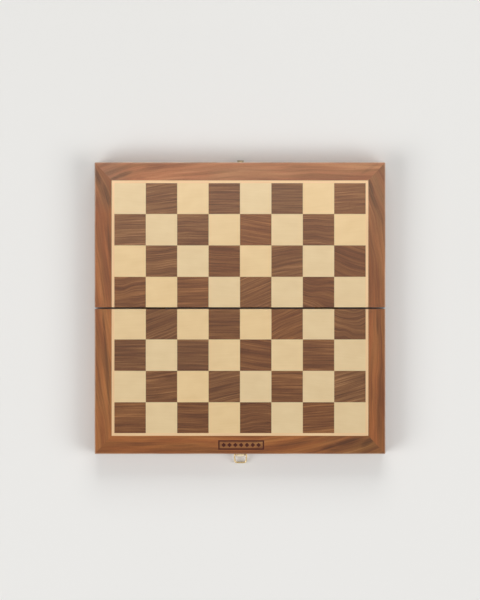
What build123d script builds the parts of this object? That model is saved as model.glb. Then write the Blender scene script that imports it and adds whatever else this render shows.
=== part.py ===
from build123d import *
import math
import os

# Folding chess box, open flat: playing side up, rims down.
# X runs to the right, Y to the back and Z up. All lengths are in millimetres.

# Playing field
files = 8
ranks_per_half = 4
square_size = 32.4
outer_rank_depth = 31.8
fold_rank_depth = 31.8
stringing_width = 2.8
veneer_thickness = 0.6
panel_thickness = 3.2

# Frame rails of one half
side_face = 17.6
end_face = 18.8
side_wall = 9.0
end_wall = 9.6
hinge_wall = 8.0
tray_height = 27.0
ledge_width = 3.0
ledge_thickness = 4.0
top_ease = 0.9
rim_ease = 0.5
corner_radius = 1.2
fold_ease = 0.35
fold_gap = 1.0

# Small engraved panel on the front rail, with a plain row of lozenges
plaque_width = 47.3
plaque_height = 9.8
plaque_line = 1.4
plaque_depth = 0.25
plaque_from_edge = 4.4
plaque_shift = 1.2
lozenge_count = 7
lozenge_pitch = 6.0
lozenge_length = 5.0
lozenge_height = 4.6

# Butt hinges in the rims, on the fold
hinge_place_share = 0.3
hinge_length = 25.0
barrel_radius = 1.25
axis_below_rim = 0.1
knuckle_gap = 0.2
leaf_width = 6.4
leaf_thickness = 0.8
leaf_room = 0.1
barrel_room = 0.2
hinge_pin_radius = 0.6
pin_fit = 0.03

# Wood screws of the hinges, the catch and the strike
screw_shank_radius = 0.75
hinge_screw_head_radius = 1.45
hinge_screw_length = 7.0
hinge_screw_spacing = 15.0
catch_screw_head_radius = 1.6
catch_screw_head_height = 0.75
catch_screw_length = 6.0
screw_slot_width = 0.4
screw_slot_depth = 0.3

# Draw catch on the front wall; heights are measured from the rim
catch_shift = 0.5
catch_base_width = 7.4
catch_base_thickness = 0.7
catch_base_low = 0.5
catch_base_high = 22.0
catch_screw_heights = (10.0, 18.0)
catch_ear_thickness = 0.8
catch_ear_radius = 1.15
lever_pivot_height = 1.9
lever_pivot_out = 1.5
lever_pin_radius = 0.55
lever_arm = 3.4
lever_side_gap = 0.2
lever_wall = 0.8
lever_lug_radius = 1.35
lever_roof_start = 1.8
lever_taper_start = 9.0
lever_tip_height = 20.6
lever_tip_width = 6.7
catch_fit = 0.05

# Wire bail on the lever
bail_wire_radius = 0.85
bail_reach = 9.1
bail_outer_width = 14.2
bail_end_width = 13.2
bail_corner_radius = 2.4
bail_ear_bend_radius = 1.0
bail_rest_slope = 20.0

# Strike hook on the back wall
strike_width = 8.0
strike_thickness = 0.5
strike_high = 15.0
strike_screw_heights = (8.2, 12.4)
hook_width = 6.7
hook_lip_thickness = 0.55
hook_lip_rise = 0.4
hook_room = 0.1

# Fitted tray insert and the places of the men in it
insert_room = 0.3
insert_recess = 0.8
man_recess = 1.0
man_room = 0.3
back_rank_inset = 25.0
pawn_inset = 10.6
finger_well_width = 17.0
finger_well_length = 18.0
finger_well_depth = 12.0
back_well_from_base = 15.0
pawn_well_from_base = 9.0

# Turned men: height, foot diameter, neck radius, collar radius
king_height, king_foot, king_neck, king_collar = 60.0, 21.2, 3.4, 6.6
queen_height, queen_foot, queen_neck, queen_collar = 54.0, 20.4, 3.2, 6.3
bishop_height, bishop_foot, bishop_neck, bishop_collar = 47.0, 18.4, 2.9, 5.6
knight_height, knight_foot, knight_neck = 43.0, 18.4, 6.0
rook_height, rook_foot, rook_neck, rook_collar = 38.0, 18.0, 4.2, 6.2
pawn_height, pawn_foot, pawn_neck, pawn_collar = 33.0, 16.4, 2.7, 5.0
foot_band = 2.2
foot_step = 1.1
collar_thickness = 1.4
collar_chamfer = 0.55
felt_thickness = 0.6
felt_inset = 0.6
lower_collar_share = 0.78
collar_spacing = 2.4
crown_flare = 1.6
crown_ball_radius = 1.7
queen_cup_height = 11.0
queen_notch_radius = 0.9
king_cup_height = 11.5
king_dome_height = 3.6
cross_size = 6.4
cross_arm = 1.9
cross_thickness = 1.9
mitre_radius = 4.7
mitre_height = 13.0
mitre_ball_radius = 1.4
mitre_slot_width = 1.1
mitre_slot_tilt = 40.0
pawn_head_radius = 4.7
rook_tower_radius = 6.6
rook_tower_height = 9.0
rook_well_radius = 4.2
rook_well_depth = 3.0
notch_width = 2.2
knight_stand_height = 9.0
knight_thickness = 8.4

half_width = 2 * (side_face + stringing_width) + files * square_size
half_depth = (end_face + stringing_width + outer_rank_depth
              + (ranks_per_half - 2) * square_size + fold_rank_depth)
hinge_places = (-hinge_place_share * half_width, hinge_place_share * half_width)
veneer_base = tray_height - veneer_thickness
panel_base = veneer_base - panel_thickness
ledge_base = panel_base - ledge_thickness
field_left = -files * square_size / 2
rim_level = barrel_radius + axis_below_rim
front_reach = lever_pivot_out + bail_reach * math.cos(math.radians(bail_rest_slope)) + bail_wire_radius
lip_inner = lever_pivot_out + bail_wire_radius + hook_room
back_reach = lip_inner + hook_lip_thickness
fold_y = (front_reach - back_reach) / 2


def on_rear(shape):
    """Half coordinates (y from the fold edge, z from the rim) to the rear half."""
    return Pos(0, fold_y + fold_gap / 2, rim_level) * shape


def on_front(shape):
    """The front half is the rear one turned half a turn about the upright fold centre."""
    return Pos(0, fold_y - fold_gap / 2, rim_level) * Rot(0, 0, 180) * shape


def rail_section(face, wall):
    """Rail section with x inward from the outer face and y up from the rim."""
    outline = Polyline(
        (0, 0), (wall, 0), (wall, ledge_base), (face + ledge_width, ledge_base),
        (face + ledge_width, panel_base), (face, panel_base),
        (face, tray_height), (0, tray_height), close=True)
    section = make_face(outline)
    top_corner = section.vertices().sort_by_distance((0, tray_height))[0]
    section = fillet(top_corner, top_ease)
    rim_corner = section.vertices().sort_by_distance((0, 0))[0]
    return fillet(rim_corner, rim_ease)


def block(x0, x1, y0, y1, z0, z1):
    """Box between two corners."""
    size = Box(x1 - x0, y1 - y0, z1 - z0, align=(Align.MIN, Align.MIN, Align.MIN))
    return Pos(x0, y0, z0) * size


def prism(points, z0, z1):
    """Upright prism over a plan outline."""
    return Pos(0, 0, z0) * extrude(make_face(Polyline(*points, close=True)), z1 - z0)


def rounded_half():
    """Upright prism of one half's outline, with its four corners eased."""
    outline = RectangleRounded(half_width, half_depth, corner_radius)
    return Pos(0, half_depth / 2, 0) * extrude(outline, tray_height)


def frame_rails():
    """End rail, the two side rails and the hinge rail of one half, before any fitting."""
    outline = rounded_half()
    end_plane = Plane(origin=(0, half_depth, 0), x_dir=(0, -1, 0), z_dir=(-1, 0, 0))
    end_bar = extrude(end_plane * rail_section(end_face, end_wall), half_width / 2, both=True)
    side_plane = Plane(origin=(-half_width / 2, 0, 0), x_dir=(1, 0, 0), z_dir=(0, -1, 0))
    side_bar = extrude(side_plane * rail_section(side_face, side_wall), -half_depth)
    inner = end_face + ledge_width
    mitre_run = inner * side_face / end_face
    mitre = prism(
        [(-half_width / 2, half_depth), (half_width / 2, half_depth),
         (half_width / 2 - mitre_run, half_depth - inner),
         (-half_width / 2 + mitre_run, half_depth - inner)], 0, tray_height)
    end_rail = end_bar & mitre & outline
    left_rail = (side_bar - mitre) & outline
    right_rail = mirror(left_rail, Plane.YZ)
    hinge_rail = block(-half_width / 2 + side_wall, half_width / 2 - side_wall,
                       0, hinge_wall, 0, panel_base) - left_rail - right_rail
    return end_rail, left_rail, right_rail, hinge_rail


def field_panel():
    """Thin board that carries the veneer and rests on the rails' ledges."""
    return block(-half_width / 2 + side_face, half_width / 2 - side_face,
                 0, half_depth - end_face, panel_base, veneer_base)


def rank_edges():
    """Y of the lines between ranks, counted from the fold."""
    edges = [0.0, fold_rank_depth]
    for _ in range(ranks_per_half - 2):
        edges.append(edges[-1] + square_size)
    edges.append(edges[-1] + outer_rank_depth)
    return edges


def squares(parity):
    """The veneer squares of one colour; the fold rank has its top edge eased."""
    edges = rank_edges()
    ease = Pos(0, 0, tray_height) * Rot(45, 0, 0) * Box(half_width, fold_ease * math.sqrt(2),
                                                        fold_ease * math.sqrt(2))
    tiles = []
    for rank in range(ranks_per_half):
        for file in range(files):
            if (rank + file) % 2 != parity:
                continue
            x0 = field_left + file * square_size
            tile = block(x0, x0 + square_size, edges[rank], edges[rank + 1],
                         veneer_base, tray_height)
            tiles.append(tile - ease if rank == 0 else tile)
    return tiles


def stringing():
    """Pale line inlay on the three outer sides of the squares, mitred at two corners."""
    outer_x = half_width / 2 - side_face
    outer_y = half_depth - end_face
    inner_x = outer_x - stringing_width
    inner_y = outer_y - stringing_width
    end_strip = prism([(-outer_x, outer_y), (outer_x, outer_y), (inner_x, inner_y), (-inner_x, inner_y)],
                      veneer_base, tray_height)
    left_strip = prism([(-outer_x, 0), (-inner_x, 0), (-inner_x, inner_y), (-outer_x, outer_y)],
                       veneer_base, tray_height)
    return [end_strip, left_strip, mirror(left_strip, Plane.YZ)]


def slotted(screw, head_radius, top):
    """Cut the driver slot into a screw whose head faces +Z at the given level."""
    return screw - Pos(0, 0, top) * Box(3 * head_radius, screw_slot_width, 2 * screw_slot_depth)


def flush_screw():
    """Countersunk wood screw, head face at z=0 and the shank toward -Z."""
    cone = Pos(0, 0, -leaf_thickness / 2) * Cone(screw_shank_radius, hinge_screw_head_radius,
                                                 leaf_thickness)
    shank = Pos(0, 0, -hinge_screw_length / 2) * Cylinder(screw_shank_radius, hinge_screw_length)
    return slotted(cone + shank, hinge_screw_head_radius, 0)


def pan_screw():
    """Round-head wood screw, seated at z=0 with its head above."""
    head = Pos(0, 0, catch_screw_head_height / 2) * Cylinder(catch_screw_head_radius,
                                                             catch_screw_head_height)
    head = fillet(head.edges().group_by(Axis.Z)[-1], 0.6 * catch_screw_head_height)
    shank = Pos(0, 0, -catch_screw_length / 2) * Cylinder(screw_shank_radius, catch_screw_length)
    return slotted(head + shank, catch_screw_head_radius, catch_screw_head_height)


def along_x(radius, x0, x1, y, z):
    """Round bar parallel to X."""
    return Pos((x0 + x1) / 2, y, z) * Rot(0, 90, 0) * Cylinder(radius, x1 - x0)


def knuckle_spans(centre):
    """The three knuckle stretches of a hinge along X: two outer and one in the middle."""
    step = hinge_length / 3
    start = centre - hinge_length / 2
    return [(start + i * step + (knuckle_gap / 2 if i else 0),
             start + (i + 1) * step - (knuckle_gap / 2 if i < 2 else 0)) for i in range(3)]


def hinge_leaf(centre, own):
    """Leaf let into the rim of one half, with the knuckles numbered in own."""
    axis_y = -fold_gap / 2
    axis_z = -axis_below_rim
    plate = block(centre - hinge_length / 2, centre + hinge_length / 2,
                  axis_y, leaf_width, 0, leaf_thickness)
    leaf = plate
    for i, (x0, x1) in enumerate(knuckle_spans(centre)):
        if i in own:
            leaf += along_x(barrel_radius, x0, x1, axis_y, axis_z)
        else:
            leaf -= along_x(barrel_radius + barrel_room, x0 - knuckle_gap, x1 + knuckle_gap,
                            axis_y, axis_z)
    bore = hinge_pin_radius + pin_fit
    leaf -= along_x(bore, centre - hinge_length, centre + hinge_length, axis_y, axis_z)
    for screw in leaf_screws(centre):
        leaf -= screw
    return leaf


def leaf_screws(centre):
    """The two flush screws of one leaf, heads in the rim plane and shanks up into the rail."""
    y = (leaf_width + barrel_radius) / 2
    return [Pos(centre + side * hinge_screw_spacing / 2, y, 0) * Rot(180, 0, 0) * flush_screw()
            for side in (-1, 1)]


def hinge_pocket(centre):
    """Room in the hinge rail for one leaf and the barrel."""
    half = hinge_length / 2 + leaf_room
    leaf = block(centre - half, centre + half, 0, leaf_width + leaf_room, 0, leaf_thickness)
    barrel = along_x(barrel_radius + barrel_room, centre - half - knuckle_gap,
                     centre + half + knuckle_gap, -fold_gap / 2, -axis_below_rim)
    return leaf + barrel


def wall_screw(height, plate):
    """Round-head screw through a wall plate; the wall is the plane y=0, outward is -Y."""
    return Pos(0, -plate, height) * Rot(90, 0, 0) * pan_screw()


def catch_base():
    """Base plate with its two ears, in wall coordinates."""
    base = block(-catch_base_width / 2, catch_base_width / 2, -catch_base_thickness, 0,
                 catch_base_low, catch_base_high)
    for side in (-1, 1):
        x1 = side * catch_base_width / 2
        x0 = x1 - side * catch_ear_thickness
        low, high = min(x0, x1), max(x0, x1)
        ear = along_x(catch_ear_radius, low, high, -lever_pivot_out, lever_pivot_height)
        ear += block(low, high, -lever_pivot_out, 0,
                     lever_pivot_height - catch_ear_radius, lever_pivot_height + catch_ear_radius)
        base += ear
    base -= along_x(lever_pin_radius + catch_fit, -catch_base_width, catch_base_width,
                    -lever_pivot_out, lever_pivot_height)
    for height in catch_screw_heights:
        base -= wall_screw(height, catch_base_thickness)
    return base


def lever_plan(inset):
    """Plan outline of the lever against the wall, shrunk by an inset on its sides and tip."""
    wide = lever_half_width() - inset
    tip = lever_tip_width / 2 - inset
    low = lever_pivot_height - 2 * lever_lug_radius
    high = lever_tip_height - inset
    outline = Polyline((-wide, low), (wide, low), (wide, lever_taper_start), (tip, high),
                       (-tip, high), (-wide, lever_taper_start), close=True)
    return extrude(Plane.XZ * make_face(outline), 4 * lever_lug_radius)


def lever_half_width():
    return catch_base_width / 2 + lever_side_gap + lever_wall


def catch_lever():
    """Channel-shaped lever, lying flat on the wall, in wall coordinates."""
    out = lever_pivot_out
    bail_height = lever_pivot_height + lever_arm
    wide = lever_half_width()
    roof = out + lever_lug_radius
    flange_foot = catch_base_thickness + lever_side_gap
    body = block(-wide, wide, -roof, -flange_foot, bail_height, lever_tip_height)
    body += along_x(lever_lug_radius, -wide, wide, -out, lever_pivot_height)
    body += along_x(lever_lug_radius, -wide, wide, -out, bail_height)
    body += block(-wide, wide, -roof, -out + lever_lug_radius, lever_pivot_height, bail_height)
    tip_edges = body.edges().filter_by(Axis.X).group_by(Axis.Z)[-1]
    body = fillet(tip_edges.sort_by(Axis.Y)[0], lever_wall)
    body = body & lever_plan(0)
    channel = lever_plan(lever_wall) & block(-wide, wide, -roof + lever_wall, 2 * roof,
                                             -lever_tip_height, lever_tip_height)
    body -= channel
    body -= block(-wide + lever_wall, wide - lever_wall, -2 * roof, 2 * roof,
                  -lever_tip_height, lever_pivot_height + lever_roof_start)
    body -= along_x(lever_pin_radius + catch_fit, -2 * wide, 2 * wide, -out, lever_pivot_height)
    body -= along_x(bail_wire_radius + catch_fit, -2 * wide, 2 * wide, -out, bail_height)
    return body


def catch_pin():
    """Pin through the base ears and the lever flanges."""
    wide = lever_half_width()
    return along_x(lever_pin_radius, -wide, wide, -lever_pivot_out, lever_pivot_height)


def catch_bail():
    """Wire loop whose turned-in ends sit in the lever's lugs, at its resting slope."""
    ear = catch_base_width / 2 + lever_side_gap / 2
    arm = bail_outer_width / 2 - bail_wire_radius
    end = bail_end_width / 2 - bail_wire_radius
    path = FilletPolyline((-ear, 0), (-arm, 0), (-end, -bail_reach), (end, -bail_reach), (arm, 0), (ear, 0),
                          radius=[bail_ear_bend_radius, bail_corner_radius,
                                  bail_corner_radius, bail_ear_bend_radius])
    section = Plane(origin=path @ 0, z_dir=path % 0) * Circle(bail_wire_radius)
    loop = sweep(section, path=path)
    return (Pos(0, -lever_pivot_out, lever_pivot_height + lever_arm)
            * Rot(bail_rest_slope, 0, 0) * loop)


def strike_plate():
    """Strike with its hook, in wall coordinates; the hook is open away from the rim."""
    closed_gap = 2 * axis_below_rim
    bar_height = bail_reach - lever_arm - lever_pivot_height - closed_gap
    crook = bar_height - bail_wire_radius - hook_room
    low = crook - hook_lip_thickness
    lip_top = bar_height + bail_wire_radius + hook_lip_rise
    plate = block(-strike_width / 2, strike_width / 2, -strike_thickness, 0, low, strike_high)
    floor = block(-hook_width / 2, hook_width / 2, -back_reach, 0, low, crook)
    lip = block(-hook_width / 2, hook_width / 2, -back_reach, -lip_inner, low, lip_top)
    hook = floor + lip
    outer_corner = hook.edges().filter_by(Axis.X).sort_by_distance((0, -back_reach, low))[0]
    hook = fillet(outer_corner, hook_lip_thickness)
    strike = plate + hook
    for height in strike_screw_heights:
        strike -= wall_screw(height, strike_thickness)
    return strike


def plaque_cut():
    """Shallow engraving in the front rail: a line frame with a row of lozenges, in half coordinates."""
    centre_y = half_depth - plaque_from_edge - plaque_height / 2
    low = tray_height - plaque_depth
    outer = Rectangle(plaque_width, plaque_height)
    inner = Rectangle(plaque_width - 2 * plaque_line, plaque_height - 2 * plaque_line)
    marks = outer - inner
    for i in range(lozenge_count):
        x = (i - (lozenge_count - 1) / 2) * lozenge_pitch
        corners = Polyline((x - lozenge_length / 2, 0), (x, lozenge_height / 2),
                           (x + lozenge_length / 2, 0), (x, -lozenge_height / 2), close=True)
        marks += make_face(corners)
    return Pos(-plaque_shift, centre_y, low) * extrude(marks, 2 * plaque_depth)


def turn(edges):
    """Solid of revolution about Z from a closed outline in (radius, height)."""
    return revolve(Plane.XZ * make_face(edges), Axis.Z)


def foot_and_stem(foot_radius, neck_radius, neck_height):
    """Foot band, a stepped shoulder and a stem that draws in to the neck."""
    band = Pos(0, 0, foot_band / 2) * Cylinder(foot_radius, foot_band)
    band = chamfer(band.edges(), foot_band / 4)
    shoulder_radius = foot_radius - foot_step
    stem_radius = shoulder_radius - foot_step
    shoulder = Pos(0, 0, foot_band + foot_step / 2) * Cylinder(shoulder_radius, foot_step)
    shoulder = chamfer(shoulder.edges().group_by(Axis.Z)[-1], foot_step / 2)
    low = foot_band + foot_step
    rise = neck_height - low
    curve = Bezier((stem_radius, low), (stem_radius, low + 0.3 * rise),
                   (neck_radius, low + 0.3 * rise), (neck_radius, neck_height))
    stem = turn([curve, Line((neck_radius, neck_height), (0, neck_height)),
                 Line((0, neck_height), (0, low)), Line((0, low), (stem_radius, low))])
    return band + shoulder + stem


def collar(radius, height):
    """Flat ring with a chamfered rim, centred on a height."""
    ring = Pos(0, 0, height) * Cylinder(radius, collar_thickness)
    return chamfer(ring.edges(), collar_chamfer)


def collars(radius, height):
    """A collar and the smaller one under it."""
    return collar(radius, height) + collar(lower_collar_share * radius, height - collar_spacing)


def flared_cup(low, high, low_radius, high_radius):
    """Head that opens upward, with a slightly hollow side."""
    middle = (low_radius + high_radius) / 2 - 0.25 * (high_radius - low_radius)
    side = ThreePointArc((low_radius, low), (middle, (low + high) / 2), (high_radius, high))
    return turn([side, Line((high_radius, high), (0, high)), Line((0, high), (0, low)),
                 Line((0, low), (low_radius, low))])


def pawn():
    head_z = pawn_height - pawn_head_radius
    neck_z = head_z - 0.8 * pawn_head_radius
    return (foot_and_stem(pawn_foot / 2, pawn_neck, head_z) + collar(pawn_collar, neck_z)
            + Pos(0, 0, head_z) * Sphere(pawn_head_radius))


def rook():
    base = rook_height - rook_tower_height
    man = (foot_and_stem(rook_foot / 2, rook_neck, base) + collar(rook_collar, base - collar_thickness)
           + flared_cup(base, rook_height, rook_neck, rook_tower_radius))
    man -= Pos(0, 0, rook_height) * Cylinder(rook_well_radius, 2 * rook_well_depth)
    for angle in (0, 60, 120):
        man -= Pos(0, 0, rook_height) * Rot(0, 0, angle) * Box(3 * rook_tower_radius, notch_width,
                                                              rook_well_depth)
    return man


def bishop():
    top = bishop_height - 1.6 * mitre_ball_radius
    low = top - mitre_height
    side = Bezier((bishop_neck, low), (1.35 * mitre_radius, low + 0.27 * mitre_height),
                  (0.95 * mitre_radius, top - 0.31 * mitre_height), (0, top))
    mitre = turn([side, Line((0, top), (0, low)), Line((0, low), (bishop_neck, low))])
    slot = (Pos(0.75 * mitre_radius, 0, top - 0.35 * mitre_height) * Rot(0, mitre_slot_tilt, 0)
            * Box(mitre_slot_width, 3 * mitre_radius, 2 * mitre_radius))
    return (foot_and_stem(bishop_foot / 2, bishop_neck, low + foot_step / 2)
            + collars(bishop_collar, low - collar_thickness) + (mitre - slot)
            + Pos(0, 0, bishop_height - mitre_ball_radius) * Sphere(mitre_ball_radius))


def queen():
    ball = crown_ball_radius
    crown_top = queen_height - 1.7 * ball
    crown_low = crown_top - queen_cup_height
    man = (foot_and_stem(queen_foot / 2, queen_neck, crown_low)
           + collars(queen_collar, crown_low - collar_thickness)
           + flared_cup(crown_low, crown_top, queen_neck + crown_flare / 2, queen_collar))
    for i in range(4):
        man -= (Pos(0, 0, crown_top) * Rot(0, 0, 45 * i) * Rot(0, 90, 0)
                * Cylinder(queen_notch_radius, 3 * queen_collar))
    return man + Pos(0, 0, crown_top) * Cone(0.75 * queen_collar, 0.6 * ball, ball) + (
        Pos(0, 0, queen_height - ball) * Sphere(ball))


def king():
    cup_top = king_height - cross_size - king_dome_height / 2
    cup_low = cup_top - king_cup_height
    cross_middle = king_height - cross_size / 2
    cross = (Pos(0, 0, cross_middle) * Box(cross_arm, cross_thickness, cross_size)
             + Pos(0, 0, cross_middle + cross_arm / 4) * Box(cross_size, cross_thickness, cross_arm))
    dome = Pos(0, 0, cup_top) * Cone(0.86 * king_collar, 0.7 * cross_arm, king_dome_height)
    return (foot_and_stem(king_foot / 2, king_neck, cup_low)
            + collars(king_collar, cup_low - collar_thickness)
            + flared_cup(cup_low, cup_top, king_neck + crown_flare / 2, king_collar)
            + dome + cross)


def knight():
    """Horse-head man: the head is cut from a board and tapered toward its top."""
    low = knight_stand_height
    top = knight_height
    back = Spline((-6.4, low), (-7.2, low + 10), (-6.0, low + 20), (-2.4, low + 29), (0.6, top))
    ear = Line((0.6, top), (2.2, top - 3.4))
    brow = Spline((2.2, top - 3.4), (4.6, top - 8.0), (8.4, top - 13.2))
    muzzle = Line((8.4, top - 13.2), (8.0, top - 16.8))
    jaw = Spline((8.0, top - 16.8), (5.0, top - 17.2), (1.8, top - 15.0))
    chest = Spline((1.8, top - 15.0), (3.4, top - 20.0), (6.2, low + 6), (6.6, low))
    head = make_face([back, ear, brow, muzzle, jaw, chest, Line((6.6, low), (-6.4, low))])
    board = extrude(Plane.XZ * head, knight_thickness / 2, both=True)
    thick = knight_thickness / 2
    cheek = top - 12
    taper = make_face(Polyline((-thick, low), (thick, low), (0.78 * thick, cheek), (0.42 * thick, top),
                               (-0.42 * thick, top), (-0.78 * thick, cheek), close=True))
    board = board & extrude(Plane.YZ * taper, knight_foot, both=True)
    stand = foot_and_stem(knight_foot / 2, knight_neck + 0.8, low)
    return stand + collar(knight_neck + 1.4, low) + board


men = {
    "king": (king, king_height, king_foot / 2, king_collar, king_collar),
    "queen": (queen, queen_height, queen_foot / 2, queen_collar, queen_collar),
    "bishop": (bishop, bishop_height, bishop_foot / 2, bishop_collar, bishop_collar),
    "knight": (knight, knight_height, knight_foot / 2, knight_foot / 2, knight_neck + 1.4),
    "rook": (rook, rook_height, rook_foot / 2, rook_tower_radius, rook_tower_radius),
    "pawn": (pawn, pawn_height, pawn_foot / 2, pawn_collar, pawn_collar),
}
back_rank = ("rook_1", "knight_1", "bishop_1", "queen", "king", "bishop_2", "knight_2", "rook_2")


def man_places():
    """Name, kind, x, y of the felt face and the way each man's head points, in half coordinates."""
    places = []
    for file in range(files):
        x = field_left + (file + 0.5) * square_size
        name = back_rank[file]
        places.append((name, name.split("_")[0], x, half_depth - back_rank_inset, -1))
        places.append((f"pawn_{file + 1}", "pawn", x, pawn_inset, 1))
    return places


def laid_man(solids, x, y, heading, foot_radius):
    """Lay an upright man on its side in the tray, felt face at y and head toward heading."""
    turned = Rot(-90 * heading, 0, 0)
    return [Pos(x, y, man_recess + foot_radius) * turned * solid for solid in solids]


def tray_insert():
    """Fitted insert with a stepped pocket for each man and finger wells between pairs of files."""
    inner_x = half_width / 2 - side_wall - insert_room
    ledge_x = half_width / 2 - side_face - ledge_width - insert_room
    y0 = hinge_wall + insert_room
    low_y1 = half_depth - end_wall - insert_room
    high_y1 = half_depth - end_face - ledge_width - insert_room
    body = block(-inner_x, inner_x, y0, low_y1, insert_recess, ledge_base - insert_room)
    body += block(-ledge_x, ledge_x, y0, high_y1, insert_recess, panel_base)
    for _, kind, x, y, heading in man_places():
        _, height, foot, half_x, half_z = men[kind]
        base_span = sorted((y - heading * man_room,
                            y + heading * (felt_thickness + foot_band + 2 * foot_step + man_room)))
        body_span = sorted((y, y + heading * (felt_thickness + height + man_room)))
        body -= block(x - foot - man_room, x + foot + man_room, base_span[0], base_span[1],
                      0, man_recess + 2 * foot + man_room)
        slot_x = max(half_x, foot - 2 * foot_step) + man_room
        slot_z = man_recess + foot + max(half_z, foot - 2 * foot_step) + man_room
        body -= block(x - slot_x, x + slot_x, body_span[0], body_span[1], 0, slot_z)
    for x0, x1, y0, y1 in finger_wells():
        body -= block(x0, x1, y0, y1, 0, insert_recess + finger_well_depth)
    return body


def finger_wells():
    """Plan boxes of the wells that open two neighbouring pockets to a finger."""
    wells = []
    back_y = half_depth - back_rank_inset - back_well_from_base
    pawn_y = pawn_inset + pawn_well_from_base
    for pair in range(files // 2):
        x = field_left + (2 * pair + 1) * square_size
        span = (x - finger_well_width / 2, x + finger_well_width / 2)
        wells.append((*span, back_y - finger_well_length, back_y))
        wells.append((*span, pawn_y, pawn_y + finger_well_length))
    return wells


def write(name, solids):
    """Write one node from a list of separate solids."""
    shapes = [piece for solid in solids for piece in solid.solids()]
    node = shapes[0] if len(shapes) == 1 else Compound(children=shapes)
    node.label = name
    export_step(node, f"parts/{name}.step")


def build_half(prefix, place, own_knuckles, wall_screws, engraving):
    """All wooden and lining nodes of one half."""
    end_rail, left_rail, right_rail, hinge_rail = frame_rails()
    for centre in hinge_places:
        hinge_rail -= hinge_pocket(centre)
        for screw in leaf_screws(centre):
            hinge_rail -= screw
    for screw in wall_screws:
        end_rail -= screw
    if engraving is not None:
        end_rail -= engraving
    write(f"{prefix}_end_rail", [place(end_rail)])
    write(f"{prefix}_side_rails", [place(left_rail), place(right_rail)])
    write(f"{prefix}_hinge_rail", [place(hinge_rail)])
    write(f"{prefix}_panel", [place(field_panel())])
    write(f"{prefix}_light_squares", [place(tile) for tile in squares(1)])
    write(f"{prefix}_dark_squares", [place(tile) for tile in squares(0)])
    write(f"{prefix}_stringing", [place(strip) for strip in stringing()])
    write(f"{prefix}_insert", [place(tray_insert())])
    for i, centre in enumerate(sorted(hinge_places)):
        write(f"{prefix}_hinge_leaf_{i + 1}", [place(hinge_leaf(centre, own_knuckles))])


def build_men(colour, place):
    """The sixteen men of one colour, each a turned body on a felt disc."""
    upright = {}
    for kind, (maker, _, foot, _, _) in men.items():
        felt = Pos(0, 0, felt_thickness / 2) * Cylinder(foot - felt_inset, felt_thickness)
        upright[kind] = [Pos(0, 0, felt_thickness) * maker(), felt]
    for name, kind, x, y, heading in man_places():
        laid = laid_man(upright[kind], x, y, heading, men[kind][2])
        write(f"{colour}_{name}", [place(solid) for solid in laid])


def on_wall(shape):
    """Wall coordinates to half coordinates: the end rail's outer face, outward +Y."""
    return Pos(0, half_depth, 0) * Rot(0, 0, 180) * shape


def main():
    os.makedirs("parts", exist_ok=True)
    front_shift = Pos(-catch_shift, 0, 0)
    rear_shift = Pos(catch_shift, 0, 0)
    catch_screws = [front_shift * on_wall(wall_screw(h, catch_base_thickness))
                    for h in catch_screw_heights]
    strike_screws = [rear_shift * on_wall(wall_screw(h, strike_thickness))
                     for h in strike_screw_heights]
    build_half("rear", on_rear, (0, 2), strike_screws, None)
    build_half("front", on_front, (1,), catch_screws, plaque_cut())
    build_men("dark", on_rear)
    build_men("light", on_front)

    pins = [along_x(hinge_pin_radius, x - hinge_length / 2, x + hinge_length / 2,
                    -fold_gap / 2, -axis_below_rim) for x in hinge_places]
    write("hinge_pins", [on_rear(pin) for pin in pins])
    leaf = [screw for centre in hinge_places for screw in leaf_screws(centre)]
    write("rear_screws", [on_rear(screw) for screw in leaf + strike_screws])
    write("front_screws", [on_front(screw) for screw in leaf + catch_screws])
    write("catch_base", [on_front(front_shift * on_wall(catch_base()))])
    write("catch_lever", [on_front(front_shift * on_wall(catch_lever()))])
    write("catch_pin", [on_front(front_shift * on_wall(catch_pin()))])
    write("catch_bail", [on_front(front_shift * on_wall(catch_bail()))])
    write("strike_plate", [on_rear(rear_shift * on_wall(strike_plate()))])
    print("half:", half_width, "x", half_depth, "x", tray_height)
    print("fold line y:", round(fold_y, 3), "rim z:", rim_level)


main()
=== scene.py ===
from functools import reduce

import bpy
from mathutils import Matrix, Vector


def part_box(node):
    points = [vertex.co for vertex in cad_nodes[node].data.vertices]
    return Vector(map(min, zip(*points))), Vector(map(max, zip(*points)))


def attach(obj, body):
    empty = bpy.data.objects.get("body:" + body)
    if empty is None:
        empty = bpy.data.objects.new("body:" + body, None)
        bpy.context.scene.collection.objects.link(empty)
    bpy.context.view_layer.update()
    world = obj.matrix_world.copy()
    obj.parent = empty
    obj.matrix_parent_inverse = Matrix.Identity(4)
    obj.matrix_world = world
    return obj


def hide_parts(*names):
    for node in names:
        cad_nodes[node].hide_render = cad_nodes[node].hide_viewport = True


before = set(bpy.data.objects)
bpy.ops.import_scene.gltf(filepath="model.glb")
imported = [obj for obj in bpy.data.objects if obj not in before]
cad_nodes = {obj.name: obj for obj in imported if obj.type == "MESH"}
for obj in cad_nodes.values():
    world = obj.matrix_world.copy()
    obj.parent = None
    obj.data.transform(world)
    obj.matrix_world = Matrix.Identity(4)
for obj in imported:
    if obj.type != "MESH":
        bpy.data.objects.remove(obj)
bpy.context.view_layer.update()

# Places read from the frame, in metres
board_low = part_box("front_end_rail")[0]
board_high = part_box("rear_end_rail")[1]
field_low, field_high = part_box("rear_dark_squares")
board_top = field_high.z
rear_fold_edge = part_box("rear_hinge_rail")[0].y
fold_y = (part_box("front_hinge_rail")[1].y + rear_fold_edge) / 2

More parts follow.
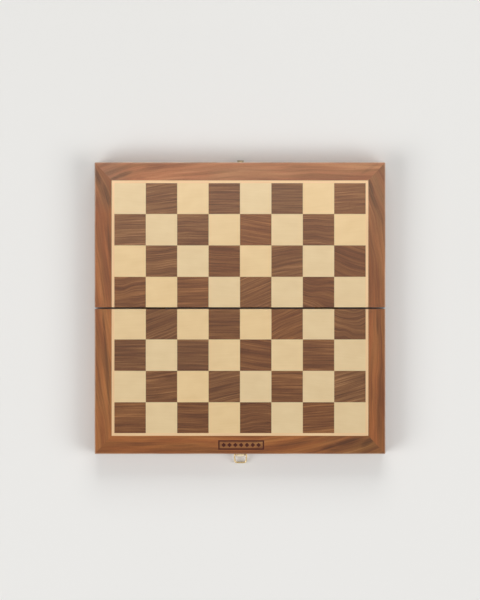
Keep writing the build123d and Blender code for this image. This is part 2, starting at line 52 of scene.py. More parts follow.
# The same for the finishes, which count in millimetres, with y from the fold
metre = 1000.0
square = (field_high.x - field_low.x) / 8 * metre
top_face = board_top * metre
side_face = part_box("rear_side_rails")[1].x * metre
back_face = (board_high.y - fold_y) * metre
front_face = (board_low.y - fold_y) * metre
first_rank = (rear_fold_edge - fold_y) * metre
first_rank_cut = 0.6  # the ranks at the fold are less deep than a square by this

# Ranks are counted from the fold: 0 to 3 in front of it, and from this number behind it
rear_ranks = 10

# The engraving in the front rail: its depth and middle, and the stretch of rail that holds it
engraving_depth = 0.25
engraving_middle = 1.2
engraving_reach = 30.0
engraving_strip = (3.0, 16.0)  # from the front edge

# Where the wood that the burning has dulled fades out: beside its middle, and from the front edge
scorch_beside = (22.0, 25.0)
scorch_begins, scorch_ends = (4.0, 6.0), (12.5, 14.5)

# Painted highlight on the eased outer edges: how far inside the outer walls it begins and is full, and
# below the playing side
edge_highlight_from_side = (1.3, 0.3)
edge_highlight_below_top = (1.4, 0.7)

# Painted shade in the fold, where the narrow gap is dark: where it is full and where gone, counted from
# the fold's middle, where it begins and where it is full below the playing side, and how much further
# down
fold_shade_reach = (0.75, 1.2)
fold_shade_depth = (3.5, 0.8)
fold_shade_low_down = 0.3

# Where the felt discs of the back rank and of the pawns begin
officer_felt = 124.88
pawn_felt = 11.72

# Felt over foam: voxel of the remesh in metres, rounds of smoothing, share of the faces kept
felt_voxel = 0.0009
felt_smoothing = 5
felt_faces_kept = 0.22

# Brass pieces, which the sheen strip passes over
metal = ["hinge_pins", "rear_screws", "front_screws", "catch_base", "catch_pin", "catch_lever",
         "catch_bail", "strike_plate"]
metal += [f"{half}_hinge_leaf_{i}" for half in ("rear", "front") for i in (1, 2)]

# Framing of the photo: how much it shows of the playing side's plane from top to bottom,
# and how far it looks past the board's middle
view_height = 0.6190
look_past_middle = 0.0084
camera_distance = 3.0

# Soft boxes by name, place and power, and the strip that only puts a sheen on varnish
softbox_size = 1.3
softboxes = [
    ("left_softbox", (-1.5, -0.7, 1.5), 21.2),
    ("right_softbox", (1.5, -0.5, 1.5), 18.8),
    ("back_softbox", (0.1, 1.7, 1.4), 15.6),
]
sheen_place, sheen_aim = (0.0, 0.34, 0.45), (0.0, 0.1, 0.0)
sheen_length, sheen_width = 1.4, 0.35
sheen_power, sheen_colour = 14.8, (1.0, 0.92, 0.84)

# Around the board the floor fades into an even background, between two distances in millimetres
floor_reach = 12.0
fade_start, fade_end = 450.0, 1500.0
background = (0.835, 0.83, 0.815, 1.0)

# The dome's light, and what is added to it where the camera or a reflection sees it
dome_colour = (1.0, 0.994, 0.978, 1.0)
dome_light, dome_seen, dome_mirrored = 0.26, 0.575, 0.34

# Sockets of a Mix node for colours
mix_factor, mix_first, mix_second, mix_result = 0, 6, 7, 2


def srgb(red, green, blue):
    """A measured 0-255 colour as linear RGBA."""
    def linear(value):
        value /= 255
        return value / 12.92 if value <= 0.04045 else ((value + 0.055) / 1.055) ** 2.4
    return (linear(red), linear(green), linear(blue), 1.0)


def tint(red, green, blue):
    """Linear factors that a colour is multiplied by."""
    return (red, green, blue, 1.0)


satin_varnish = {"Coat_Roughness": 0.3, "Specular_IOR_Level": 0.2}

grey_wood = tint(0.77, 0.87, 1.05)
heart_wood = tint(0.33, 0.31, 0.25)
scorched_wood = tint(0.82, 0.93, 1.08)
burnt_wood = srgb(62, 18, 4)
# Colour of the painted highlight on the eased outer edges
edge_highlight_colour = srgb(214, 184, 160)
open_pore = tint(0.55, 0.5, 0.48)
# Tint of the painted shade in the fold
painted_fold_shade_tint = tint(0.1, 0.08, 0.07)

# Tints that drift over the frame wood, that tell the brown leaves apart, and of three brown ranks, the
# back two with painted sheen
greenish_wood, reddish_wood = tint(0.97, 1.06, 1.1), tint(1.04, 1.0, 1.02)
cool_leaf, warm_leaf = tint(0.96, 1.02, 1.08), tint(1.1, 1.0, 0.84)
fourth_rank = tint(0.88, 0.85, 0.8)
seventh_rank_painted_sheen, eighth_rank_painted_sheen = tint(1.17, 1.22, 1.3), tint(1.03, 1.09, 1.2)

# Brown woods from their darkest tone to their lightest
side_stops = [(0.0, srgb(88, 47, 21)), (0.33, srgb(121, 69, 33)), (0.62, srgb(150, 91, 46)),
              (1.0, srgb(183, 122, 71))]
back_stops = [(0.0, srgb(98, 55, 32)), (0.33, srgb(128, 78, 46)), (0.62, srgb(153, 98, 61)),
              (1.0, srgb(180, 124, 82))]
front_stops = [(0.0, srgb(88, 47, 19)), (0.33, srgb(123, 69, 29)), (0.62, srgb(152, 91, 42)),
               (1.0, srgb(184, 123, 66))]
veneer_stops = [(0.0, srgb(74, 41, 20)), (0.35, srgb(95, 58, 31)), (0.62, srgb(115, 75, 42)),
                (1.0, srgb(149, 105, 67))]

# Tints of the side rails, front and rear, and how far apart in the log the two sides are cut
left_rail_tints = (tint(1.1, 1.135, 1.09), tint(1.0, 0.97, 0.94))
right_rail_tints = (tint(0.96, 0.92, 0.87), tint(0.91, 0.93, 0.97))
right_rail_layer = 31.7

# How far apart the squares' leaves are cut: along the log, across it and into it
leaf_spread = (300, 90, 40)

# Dark heart patches of the rails: middle, reach along the rail, slope, width and strength.
# One has faded out where the squares of the distances, over reach and width, come to patch_end.
patch_end = 1.7
side_patches = [
    ((-147.0, 135.0), 10.0, -0.3, 3.4, 0.8),
    ((-137.0, 116.0), 13.0, -0.3, 2.8, 1.0),
    ((-143.5, 124.0), 11.0, -0.4, 2.0, 0.5),
    ((-135.0, 62.0), 26.0, -0.05, 1.4, 0.5),
    ((-138.6, -40.0), 52.0, -0.08, 1.5, 0.75),
    ((-135.5, -92.0), 34.0, -0.06, 1.4, 0.5),
    ((135.0, 124.0), 10.0, -0.3, 3.4, 0.9),
    ((138.5, 111.0), 13.0, -0.4, 3.0, 0.8),
    ((144.0, 97.0), 12.0, -0.35, 2.2, 0.6),
    ((141.0, 62.0), 70.0, -0.05, 9.0, 0.32),
    ((142.0, -12.0), 17.0, 0.0, 1.3, 0.85),
    ((146.5, -75.0), 110.0, 0.0, 4.4, 0.42),
    ((142.5, -95.0), 50.0, 0.0, 1.7, 0.4),
]
back_patches = [
    ((-128.5, 134.3), 5.0, 0.3, 1.7, 0.85),
    ((-120.0, 138.2), 9.0, 0.35, 2.6, 0.8),
    ((-102.0, 134.0), 6.0, 0.1, 0.9, 0.6),
    ((-88.0, 146.5), 12.0, 0.1, 1.8, 0.35),
    ((-33.0, 139.5), 40.0, 0.09, 1.9, 0.4),
    ((44.0, 142.0), 50.0, 0.0, 1.8, 0.35),
    ((134.0, 144.0), 10.0, 0.6, 2.0, 0.3),
]
front_patches = [
    ((111.5, -138.0), 15.0, 0.24, 3.0, 1.0),
    ((93.5, -143.0), 10.0, 0.25, 2.2, 0.65),
    ((131.5, -138.7), 8.5, 0.5, 3.8, 1.0),
    ((125.5, -141.8), 11.0, 0.35, 2.3, 0.55),
    ((121.0, -143.0), 26.0, 0.2, 6.5, 0.34),
    ((97.0, -146.2), 6.0, 0.05, 0.8, 0.7),
    ((55.0, -140.0), 18.0, 0.15, 2.2, 0.35),
    ((-75.0, -140.5), 48.0, 0.0, 2.4, 0.5),
    ((-20.0, -148.5), 30.0, 0.0, 1.2, 0.3),
]


class Value:
    """A socket in an expression; arithmetic on it adds Math nodes."""

    def __init__(self, maker, socket):
        self.maker = maker
        self.socket = socket

    def output(self, name):
        return Value(self.maker, self.socket.node.outputs[name])

    def math(self, operation, *values):
        return self.maker.node("ShaderNodeMath", {"operation": operation}, dict(enumerate(values)))

    def __add__(self, other):
        return self.math("ADD", self, other)

    def __sub__(self, other):
        return self.math("SUBTRACT", self, other)

    def __rsub__(self, other):
        return self.math("SUBTRACT", other, self)

    def __mul__(self, other):
        return self.math("MULTIPLY", self, other)

    def __truediv__(self, other):
        return self.math("DIVIDE", self, other)

    def __pow__(self, other):
        return self.math("POWER", self, other)

    def __lt__(self, other):
        return self.math("LESS_THAN", self, other)

    def __gt__(self, other):
        return self.math("GREATER_THAN", self, other)

    def __abs__(self):
        return self.math("ABSOLUTE", self)

    __radd__ = __add__
    __rmul__ = __mul__

    def floor(self):
        return self.math("FLOOR", self)

    def sin(self):
        return self.math("SINE", self)

    def cos(self):
        return self.math("COSINE", self)

    def at_least(self, other):
        return self.math("MAXIMUM", self, other)

    def at_most(self, other):
        return self.math("MINIMUM", self, other)

    def past(self, start):
        """How far this is past a place, and 0 before it."""
        return (self - start).at_least(0.0)

    def before(self, start):
        """How far this is short of a place, and 0 past it."""
        return (start - self).at_least(0.0)

    def step(self, low, high):
        """0 at low, 1 at high and smooth between; low may be the larger."""
        return self.maker.node(
            "ShaderNodeMapRange", {"interpolation_type": "SMOOTHSTEP"},
            {"Value": self, "From Min": low, "From Max": high})

    def nears(self, face, start, full):
        """0 from start millimetres short of a face, rising to 1 at full millimetres short of it."""
        return self.step(face - start, face - full)


def set_stops(ramp, stops):
    while len(ramp.elements) < len(stops):
        ramp.elements.new(0.5)
    for element, (position, colour) in zip(ramp.elements, stops):
        element.position = position
        element.color = colour


class Nodes:
    """A node tree, and one way to add any node to it."""

    def __init__(self, tree):
        self.tree = tree

    def node(self, kind, settings=None, inputs=None, output=0):
        made = self.tree.nodes.new(kind)
        for name, value in (settings or {}).items():
            if name == "stops":
                set_stops(made.color_ramp, value)
            else:
                setattr(made, name, value)
        for name, value in (inputs or {}).items():
            self.link(value, made.inputs[name])
        return Value(self, made.outputs[output])

    def link(self, value, socket):
        if isinstance(value, Value):
            self.tree.links.new(value.socket, socket)
        else:
            socket.default_value = value

    def behind(self):
        """1 where the background is seen by the camera, and 1 where it is mirrored."""
        path = self.node("ShaderNodeLightPath")
        return path.output("Is Camera Ray"), path.output("Is Glossy Ray")


class Finish(Nodes):
    """A material with one Principled surface, and the nodes that vary it."""

    def __init__(self, name, **constants):
        self.material = bpy.data.materials.new(name)
        self.material.use_nodes = True
        super().__init__(self.material.node_tree)
        self.surface = self.tree.nodes["Principled BSDF"]
        self.vary(**constants)

    def vary(self, **values):
        for socket, value in values.items():
            self.link(value, self.surface.inputs[socket.replace("_", " ")])

    def place(self):
        """Object coordinates in millimetres, with y counted from the fold."""
        coords = self.node("ShaderNodeTexCoord", output="Object")
        coords = self.node("ShaderNodeVectorMath", {"operation": "SUBTRACT"},
                           {0: coords, 1: (0.0, fold_y, 0.0)})
        coords = self.node("ShaderNodeVectorMath", {"operation": "MULTIPLY"},
                           {0: coords, 1: (metre, metre, metre)})
        x = self.node("ShaderNodeSeparateXYZ", inputs={0: coords})
        return x, x.output("Y"), x.output("Z")

    def noise(self, x, y, z, detail=1.0, roughness=0.5):
        """Noise with lumps about 1 across, so that x / 3 makes them 3 millimetres wide."""
        vector = self.node("ShaderNodeCombineXYZ", inputs={0: x, 1: y, 2: z})
        return self.node("ShaderNodeTexNoise", {"noise_dimensions": "3D"},
                         {"Vector": vector, "Scale": 1.0, "Detail": detail, "Roughness": roughness})

    def chance(self, x, y):
        """Four steady random numbers for a cell: one value and three colour parts."""
        vector = self.node("ShaderNodeCombineXYZ", inputs={0: x, 1: y})
        value = self.node("ShaderNodeTexWhiteNoise", {"noise_dimensions": "2D"}, {"Vector": vector})
        red = self.node("ShaderNodeSeparateColor", inputs={0: value.output("Color")})
        return value, red, red.output("Green"), red.output("Blue")

    def mix(self, amount, first, second, **settings):
        return self.node("ShaderNodeMix", {"data_type": "RGBA", **settings},
                         {mix_factor: amount, mix_first: first, mix_second: second}, mix_result)

    def multiply(self, amount, first, second):
        return self.mix(amount, first, second, blend_type="MULTIPLY")

    def ramp(self, value, stops):
        return self.node("ShaderNodeValToRGB", {"stops": stops}, {"Fac": value})

    def bump(self, height, distance, strength):
        normal = self.node("ShaderNodeBump",
                           inputs={"Height": height, "Distance": distance, "Strength": strength})
        self.vary(Normal=normal)


class Grain:
    """The grain of a piece of wood: along its fibres, across them, and how deep in the log."""

    def __init__(self, finish, along, across, depth):
        self.finish = finish
        self.along = along
        self.across = across
        self.depth = depth

    def bent(self, sideways):
        """The same grain with its fibres pushed sideways."""
        return Grain(self.finish, self.along, self.across + sideways, self.depth)

    def streaks(self, length, width, layer=0.0, detail=1.0):
        """Noise drawn out along the fibres, by a streak's length and width in millimetres."""
        return self.finish.noise(self.along / length, self.across / width, self.depth + layer, detail)


def weighed(middle, *layers):
    """A tone around its middle, which each noise swings by its weight."""
    return sum((noise - 0.5) * weight for noise, weight in layers) + middle


def paint_fold_shade(finish, y, z, colour):
    """Painted shade on the eased edges of the fold and down its walls, where the narrow gap is dark;
    less of it further down.
    """
    wall = 1.0 - abs(y).step(*fold_shade_reach)
    upper = z.nears(top_face, *fold_shade_depth)
    fold_shade = wall * (fold_shade_low_down + upper * (1.0 - fold_shade_low_down))
    return finish.multiply(fold_shade, colour, painted_fold_shade_tint)


def varnish_open_grain(finish, colour, lines, fibre, pores, roughness, fibre_roughness):
    """Finish a brown wood: its varnish sinks into the pores, over a faint relief of the grain."""
    finish.vary(Base_Color=colour, Roughness=roughness + fibre * fibre_roughness + pores * 0.2,
                Coat_Weight=0.1 - pores * 0.08)
    finish.bump(fibre * 0.4 + lines * 0.2 - pores, distance=0.00006, strength=0.6)


def heart_patch(x, y, upright, place, reach, slope, width, strength):
    """Soft dark patch that leans by a slope; upright runs along y instead of x."""
    from_x, from_y = x - place[0], y - place[1]
    run, aside = (from_y, from_x) if upright else (from_x, from_y)
    aside = (aside - run * slope) / width
    away = (run / reach) ** 2.0 + aside ** 2.0
    return (1.0 - away.step(0.0, patch_end)) * strength


def engraved(x, y, z):
    """Mask of the burnt engraving: everything in its shallow floor and walls."""
    from_edge = y - front_face
    level = (z > top_face - engraving_depth - 0.15) * (z < top_face - 0.04)
    strip = (from_edge > engraving_strip[0]) * (from_edge < engraving_strip[1])
    return level * strip * (abs(x) < engraving_reach)


def scorched(x, y, z):
    """Mask of the wood inside the engraved frame, which the burning has dulled."""
    from_edge = y - front_face
    beside = abs(x - engraving_middle).step(*scorch_beside)
    begun, ended = from_edge.step(*scorch_begins), from_edge.step(*scorch_ends)
    return (1.0 - beside) * begun * (1.0 - ended) * (z > top_face - 0.5)


def rail_tint(finish, x, y):
    """Each of the four side rails has a tint of its own."""
    left = finish.mix(y > 0.0, *left_rail_tints)
    right = finish.mix(y > 0.0, *right_rail_tints)
    return finish.mix(x > 0.0, left, right)


def frame_wood(name, flow, greyed, seed, stops, patches, side_rails=False, plaque=False):
    """Oiled brown frame wood.

    flow gives the lines' own coordinate, so they lean and bend with it. greyed says where the wood
    is greyer. The grain runs along x, but along y on the side rails, which have a tint each.
    """
    finish = Finish(name, **satin_varnish)
    x, y, z = finish.place()
    depth = z / 90 + seed
    if side_rails:
        depth = depth + (x > 0.0) * right_rail_layer
    wander = (finish.noise(x / 40, y / 40, depth) - 0.5) * 6.0
    down_the_wall = (z - top_face) * 0.8
    line = flow(x, y) + wander + down_the_wall
    grain = Grain(finish, y if side_rails else x, line, depth)
    zones = grain.streaks(120, 8.5, layer=3.1)
    bands = grain.streaks(70, 3.9, layer=9.4)
    lines = grain.streaks(50, 1.3, layer=7.7)
    fibre = grain.streaks(9, 0.35, layer=11.3)
    pores = grain.streaks(2.6, 0.22, layer=5.9, detail=0.0).step(0.62, 0.78)
    hue = grain.streaks(60, 7, layer=20).step(0.32, 0.68)

    tone = weighed(0.475, (zones, 0.8), (bands, 0.7), (lines, 0.42), (fibre, 0.25))
    colour = finish.ramp(tone, stops)
    colour = finish.multiply(1.0, colour, finish.mix(hue, greenish_wood, reddish_wood))
    if side_rails:
        colour = finish.multiply(1.0, colour, rail_tint(finish, x, y))
    colour = finish.multiply(greyed(x, y), colour, grey_wood)
    heart = reduce(Value.at_least, [heart_patch(x, y, side_rails, *patch) for patch in patches])
    heart = heart * (0.62 + lines.step(0.7, 0.3) * 0.5)
    colour = finish.multiply(heart.at_most(1.0), colour, heart_wood)
    colour = finish.multiply(pores * 0.4, colour, open_pore)

    # Painted highlight: the eased outer top edges are lightened, unevenly along them, where they catch
    # the light
    edges = abs(x).nears(side_face, *edge_highlight_from_side).at_least(abs(y).nears(back_face, *edge_highlight_from_side))
    highlight_unevenness = finish.noise(x / 34, y / 34, seed).step(0.3, 0.7)
    painted_edge_highlight = edges * z.nears(top_face, *edge_highlight_below_top) * (0.3 + highlight_unevenness * 0.35)
    colour = finish.mix(painted_edge_highlight, colour, edge_highlight_colour)
    colour = paint_fold_shade(finish, y, z, colour)
    if plaque:
        colour = finish.multiply(scorched(x, y, z), colour, scorched_wood)
        burnt = engraved(x, y, z)
        colour = finish.mix(burnt, colour, burnt_wood)
        pores = pores.at_least(burnt)
    varnish_open_grain(finish, colour, lines, fibre, pores, roughness=0.46, fibre_roughness=0.12)
    return finish.material


def side_flow(x, y):
    """Lines of the side rails: toward the back they lean to the left, most near the corners.

    In front of the fold the right rail's lines are straight.
    """
    right = x > 0.0
    back_bend = y.past(85.0) ** 2.0 * 0.003
    left_lean = y * 0.15
    right_lean = y.past(0.0) * 0.1 + y.past(60.0) * 0.06
    return x + back_bend + left_lean * (1.0 - right) + right_lean * right


def back_flow(x, y):
    """Lines of the back rail: straight on the right, falling to the left, most at the corner."""
    return y - x.at_most(0.0) * 0.11 + x.before(-95.0) ** 2.0 * 0.003


def front_flow(x, y):
    """Lines of the front rail: straight, then rising ever more to the right corner."""
    past = x.past(15.0)
    return y - past * 0.1 - past ** 2.0 * 0.0011


def greyed_sides(x, y):
    """The left rail is greyer at its back corner, the right one over most of its rear half."""
    right = x > 0.0
    return y.step(95.0, 112.0) * (1.0 - right) + y.step(40.0, 120.0) * right


def greyed_back(x, y):
    """The back rail is greyer at its left corner."""
    return x.step(-108.0, -134.0) * 0.8


def greyed_front(x, y):
    """The front rail is greyer at its right corner."""
    return x.step(72.0, 100.0) * 0.75


def rank_and_file(x, y):
    """Cell numbers of the square that a point of the playing field lies in."""
    file = (x / square).floor()
    rank = ((abs(y) - (first_rank - first_rank_cut)) / square).floor() + (y > 0.0) * rear_ranks
    return file, rank


def leaf_grain(finish, x, y, turn, *chances):
    """Grain of one square's leaf, turned by an angle and cut from a place of its own in the log."""
    along, across, depth = [chance * spread for chance, spread in zip(chances, leaf_spread)]
    along = x * turn.cos() + y * turn.sin() + along
    across = y * turn.cos() - x * turn.sin() + across
    return Grain(finish, along, across, depth)


def dark_squares():
    """Brown veneer: every square is its own leaf, with its own drift, slope and tone."""
    finish = Finish("brown_veneer", **satin_varnish)
    x, y, z = finish.place()
    file, rank = rank_and_file(x, y)
    pick, first, second, third = finish.chance(file, rank)
    grain = leaf_grain(finish, x, y, (first - 0.5) ** 3.0 * 3.4, second, third, pick)
    drift = grain.streaks(30, 26) - 0.5
    grain = grain.bent(drift * (1.6 + second ** 6.0 * 26))
    zones = grain.streaks(90, 7, layer=3.1)
    bands = grain.streaks(60, 1.7, layer=7.7)
    lines = grain.streaks(40, 0.8, layer=2.2)
    fibre = grain.streaks(12, 0.33, layer=11.3)
    pores = grain.streaks(2.8, 0.22, layer=5.9, detail=0.0).step(0.6, 0.76)

    tone = weighed(0.44, (zones, 0.65), (bands, 1.1), (lines, 1.0), (fibre, 0.45), (pick, 0.2))
    colour = finish.ramp(tone, veneer_stops)
    colour = finish.multiply(1.0, colour, finish.mix(third, cool_leaf, warm_leaf))
    # Painted sheen: the two back ranks are lighter and cooler, as where the varnish catches a sheen
    back_ranks_sheen = finish.mix(rank > rear_ranks + 2.5, seventh_rank_painted_sheen, eighth_rank_painted_sheen)
    colour = finish.multiply(rank > rear_ranks + 1.5, colour, back_ranks_sheen)
    colour = finish.multiply(rank < 0.5, colour, fourth_rank)
    colour = finish.multiply(pores * 0.45, colour, open_pore)
    colour = paint_fold_shade(finish, y, z, colour)
    varnish_open_grain(finish, colour, lines, fibre, pores, roughness=0.47, fibre_roughness=0.1)
    return finish.material


def light_squares():
    """Pale maple veneer, nearly plain, a little warmer or yellower from square to square."""
    finish = Finish("maple_veneer", **satin_varnish)
    x, y, z = finish.place()
    file, rank = rank_and_file(x, y)
    pick, first, second, third = finish.chance(file + 40.0, rank)
    grain = leaf_grain(finish, x, y, (first - 0.5) * 0.3, second, third, pick)
    clouds = grain.streaks(17, 11)
    lines = grain.streaks(40, 1.4, layer=7.7, detail=2.0)
    flecks = grain.streaks(1.6, 0.5, layer=4.0).step(0.62, 0.8)

    tone = weighed(0.5, (clouds, 0.7), (lines, 0.4), (pick, 0.3))
    colour = finish.mix(tone.at_least(0.0).at_most(1.0), srgb(212, 185, 141), srgb(226, 203, 160))
    warm = finish.multiply(1.0, colour, tint(1.015, 0.955, 0.87))
    colour = finish.mix(first.step(0.25, 0.9), colour, warm)
    colour = finish.multiply(flecks * 0.12, colour, tint(0.8, 0.7, 0.6))
    colour = paint_fold_shade(finish, y, z, colour)
    finish.vary(Base_Color=colour, Roughness=0.44 + lines * 0.1, Coat_Weight=0.15 - flecks * 0.05)
    finish.bump(lines * 0.3 - flecks * 0.4, distance=0.00004, strength=0.5)
    return finish.material


def line_inlay():
    """The pale line between field and frame, a touch peachier than the squares."""
    finish = Finish("line_inlay", **satin_varnish)
    x, y, z = finish.place()
    beside_field = abs(x) > 4 * square
    along_x = finish.noise(x / 50, y / 0.9, 2.0)
    along_y = finish.noise(x / 0.9, y / 50, 6.0)
    grain = along_x * (1.0 - beside_field) + along_y * beside_field
    fine = finish.noise(x / 0.7, y / 0.7, 9.0)
    colour = finish.mix(grain.step(0.2, 0.8), srgb(222, 184, 138), srgb(232, 198, 154))
    colour = finish.multiply(fine * 0.12, colour, tint(0.85, 0.78, 0.7))
    colour = paint_fold_shade(finish, y, z, colour)
    finish.vary(Base_Color=colour, Roughness=0.44 + fine * 0.1, Coat_Weight=0.15 - fine * 0.05)
    return finish.material


def plain_ply():
    """Raw birch ply of the panels, with its pale face and darker glue lines at the edge."""
    finish = Finish("panel_ply", Roughness=0.7)
    x, y, z = finish.place()
    plies = (z * 2.6).sin().step(0.2, 0.9)
    grain = finish.noise(x / 60, y / 1.6, 4.0, detail=2.0)
    colour = finish.mix(grain, srgb(176, 142, 104), srgb(208, 178, 138))
    colour = finish.multiply(plies * 0.3, colour, tint(0.75, 0.65, 0.55))
    finish.vary(Base_Color=paint_fold_shade(finish, y, z, colour))
    return finish.material


def brass(name, bright, tarnished, dullness=0.2):
    """Polished brass with fine rubbing marks and a cloudy tarnish."""
    finish = Finish(name, Metallic=1.0)
    x, y, z = finish.place()
    cloud = finish.noise(x / 3, y / 3, z / 3, detail=2.0)
    marks = finish.noise(x / 0.3, y / 4, z / 4)
    finish.vary(Base_Color=finish.mix(cloud.step(0.35, 0.75), bright, tarnished),
                Roughness=cloud * 0.14 + marks * 0.1 + dullness)
    finish.bump(marks, distance=0.00002, strength=0.4)
    return finish.material


def men_wood(name, deep, pale, seed):
    """Turned wood with its grain along the man, and felt under the foot."""
    finish = Finish(name, Coat_Roughness=0.25, Specular_IOR_Level=0.45)
    x, y, z = finish.place()
    rings = finish.noise(y / 60, x / 2.2, z / 2.2 + seed, detail=2.0)
    fibre = finish.noise(y / 8, x / 0.5, z / 0.5 + seed)
    tone = weighed(0.5, (rings, 1.3), (fibre, 0.4))
    colour = finish.mix(tone.at_least(0.0).at_most(1.0), deep, pale)
    out = abs(y)
    disc = (out > officer_felt).at_least(out < pawn_felt)
    nap = finish.noise(x / 0.28, y / 0.28, z / 0.28, detail=2.0)
    colour = finish.mix(disc, colour, finish.mix(nap, srgb(24, 58, 42), srgb(40, 84, 62)))
    finish.vary(Base_Color=colour, Roughness=0.34 + fibre * 0.12 + disc * 0.5,
                Coat_Weight=(0.35 - fibre * 0.1) * (1.0 - disc))
    finish.bump(fibre * (1.0 - disc) + nap * disc * 4.0, distance=0.00003, strength=0.5)
    return finish.material


def felt():
    """Short green pile of the inserts."""
    finish = Finish("green_felt", Roughness=0.95, Sheen_Weight=0.35, Specular_IOR_Level=0.2)
    x, y, z = finish.place()
    nap = finish.noise(x / 14, y / 14, z / 14, detail=2.0)
    pile = finish.noise(x / 0.28, y / 0.28, z / 0.28, detail=2.0, roughness=0.7)
    colour = finish.mix(nap.step(0.3, 0.7), srgb(26, 66, 48), srgb(38, 84, 60))
    finish.vary(Base_Color=finish.multiply(pile * 0.5, colour, tint(0.6, 0.62, 0.6)))
    finish.bump(pile, distance=0.00025, strength=0.8)
    return finish.material


def cover(mesh, material):
    mesh.materials.clear()
    mesh.materials.append(material)


def dress(material, *names):
    for name in names:
        cover(cad_nodes[name].data, material)


def put_in_scene(thing):
    bpy.context.scene.collection.objects.link(thing)


def soft_insert(half, body, material):
    """Foam block under stretched felt: its pocket mouths and edges are rounded."""
    source = cad_nodes[f"{half}_insert"]
    piece = source.copy()
    piece.data = source.data.copy()
    piece.name = f"{half}_felt_insert"
    piece.parent = None
    put_in_scene(piece)
    skin = piece.modifiers.new("skin", "REMESH")
    skin.mode = "VOXEL"
    skin.voxel_size = felt_voxel
    rounding = piece.modifiers.new("rounding", "SMOOTH")
    rounding.factor = 0.5
    rounding.iterations = felt_smoothing
    lighten = piece.modifiers.new("lighten", "DECIMATE")
    lighten.ratio = felt_faces_kept
    graph = bpy.context.evaluated_depsgraph_get()
    mesh = bpy.data.meshes.new_from_object(piece.evaluated_get(graph))
    piece.modifiers.clear()
    piece.data = mesh
    mesh.shade_smooth()
    cover(mesh, material)
    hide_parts(f"{half}_insert")
    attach(piece, body)


def dress_all():
    dress(frame_wood("side_rail_wood", side_flow, greyed_sides, 2.0, side_stops, side_patches,
                     side_rails=True),
          "rear_side_rails", "front_side_rails")
    dress(frame_wood("back_rail_wood", back_flow, greyed_back, 5.0, back_stops, back_patches),
          "rear_end_rail", "rear_hinge_rail")
    dress(frame_wood("front_rail_wood", front_flow, greyed_front, 9.0, front_stops, front_patches,
                     plaque=True),
          "front_end_rail", "front_hinge_rail")
    dress(dark_squares(), "rear_dark_squares", "front_dark_squares")
    dress(light_squares(), "rear_light_squares", "front_light_squares")
    dress(line_inlay(), "rear_stringing", "front_stringing")
    dress(plain_ply(), "rear_panel", "front_panel")
    dress(brass("pale_brass", srgb(226, 203, 158), srgb(196, 166, 112)), *metal)
    dress(brass("aged_brass", srgb(198, 188, 166), srgb(152, 140, 118)), "strike_plate")
    # The catch lever gets a near-white copy of the brass: a painted highlight for the glint on its tip
    dress(brass("lever_brass_painted_highlight", srgb(252, 242, 220), srgb(238, 220, 184), dullness=0.34), "catch_lever")
    dark = men_wood("dark_men_wood", srgb(62, 36, 24), srgb(104, 66, 44), 0.0)
    light = men_wood("light_men_wood", srgb(208, 170, 118), srgb(232, 202, 156), 4.0)
    dress(dark, *[name for name in cad_nodes if name.startswith("dark_")])
    dress(light, *[name for name in cad_nodes if name.startswith("light_")])
    lining = felt()
    soft_insert("rear", "rear_half", lining)
    soft_insert("front", "front_half", lining)


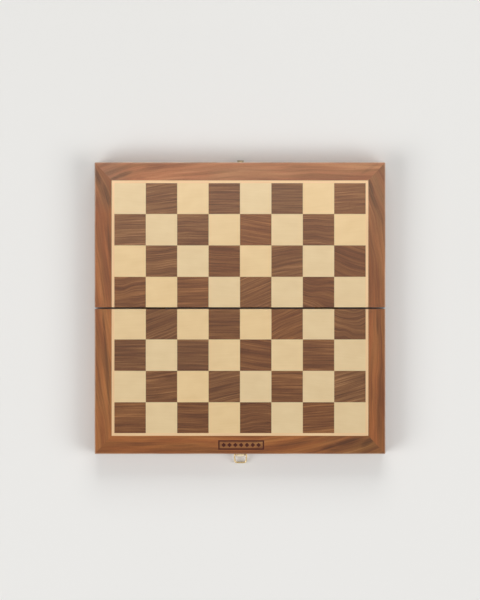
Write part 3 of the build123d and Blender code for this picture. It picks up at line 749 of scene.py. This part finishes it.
def pale_floor():
    """Pale floor that keeps the board's shadow and fades into the background further out."""
    mesh = bpy.data.meshes.new("floor")
    reach = floor_reach
    mesh.from_pydata([(-reach, -reach, 0), (reach, -reach, 0), (reach, reach, 0), (-reach, reach, 0)],
                     [], [(0, 1, 2, 3)])
    made = bpy.data.objects.new("floor", mesh)
    put_in_scene(made)
    finish = Finish("pale_floor", Roughness=0.9, Specular_IOR_Level=0.0)
    x, y, _ = finish.place()
    mottle = finish.noise(x / 900, y / 900, 0.0, detail=2.0)
    finish.vary(Base_Color=finish.mix(mottle, srgb(236, 235, 232), srgb(242, 241, 239)))
    seen, mirrored = finish.behind()
    far = ((x ** 2.0 + y ** 2.0) ** 0.5).step(fade_start, fade_end)
    pale = finish.node("ShaderNodeEmission", inputs={"Color": background, "Strength": 1.0})
    lit = Value(finish, finish.surface.outputs["BSDF"])
    faded = finish.node("ShaderNodeMixShader", inputs={0: far * (seen + mirrored), 1: lit, 2: pale})
    finish.link(faded, finish.tree.nodes["Material Output"].inputs["Surface"])
    cover(mesh, finish.material)


def dome():
    """Dim soft light from all sides, which the camera and reflections see as the pale background."""
    world = bpy.data.worlds.new("soft_dome")
    world.use_nodes = True
    sky = Nodes(world.node_tree)
    seen, mirrored = sky.behind()
    light = sky.tree.nodes["Background"]
    light.inputs["Color"].default_value = dome_colour
    sky.link(seen * dome_seen + mirrored * dome_mirrored + dome_light, light.inputs["Strength"])
    bpy.context.scene.world = world


def lamp(name, place, aim, size, power):
    data = bpy.data.lights.new(name, "AREA")
    data.shape = "SQUARE"
    data.size = size
    data.energy = power
    made = bpy.data.objects.new(name, data)
    made.location = place
    made.rotation_euler = (Vector(aim) - Vector(place)).to_track_quat("-Z", "Y").to_euler()
    made.visible_camera = False
    put_in_scene(made)
    return made


def only_on_wood(light):
    """Keep a light off the brass, whose curves would throw it back as hot spots."""
    passed_over = bpy.data.collections.new("brass_parts")
    for name in metal:
        passed_over.objects.link(cad_nodes[name])
    for entry in passed_over.collection_objects:
        entry.light_linking.link_state = "EXCLUDE"
    light.light_linking.receiver_collection = passed_over


def lamps():
    """Large soft lamps, and a strip at the back that only puts a sheen on varnish."""
    for name, place, power in softboxes:
        lamp(name, place, (0.0, 0.0, 0.0), softbox_size, power)
    sheen = lamp("sheen_strip", sheen_place, sheen_aim, sheen_length, sheen_power)
    sheen.data.color = sheen_colour
    sheen.data.shape = "RECTANGLE"
    sheen.data.size_y = sheen_width
    sheen.visible_diffuse = False
    only_on_wood(sheen)


def camera():
    """Straight down on the playing side, from far enough that the sides don't show."""
    data = bpy.data.cameras.new("camera")
    data.sensor_width = 36.0
    data.lens = data.sensor_width * camera_distance / view_height
    data.clip_end = 50.0
    made = bpy.data.objects.new("camera", data)
    middle = (board_low.y + board_high.y) / 2
    made.location = (0.0, middle + look_past_middle, board_top + camera_distance)
    put_in_scene(made)
    bpy.context.scene.camera = made


dress_all()
pale_floor()
dome()
lamps()
camera()
bpy.context.scene.view_settings.view_transform = "Standard"
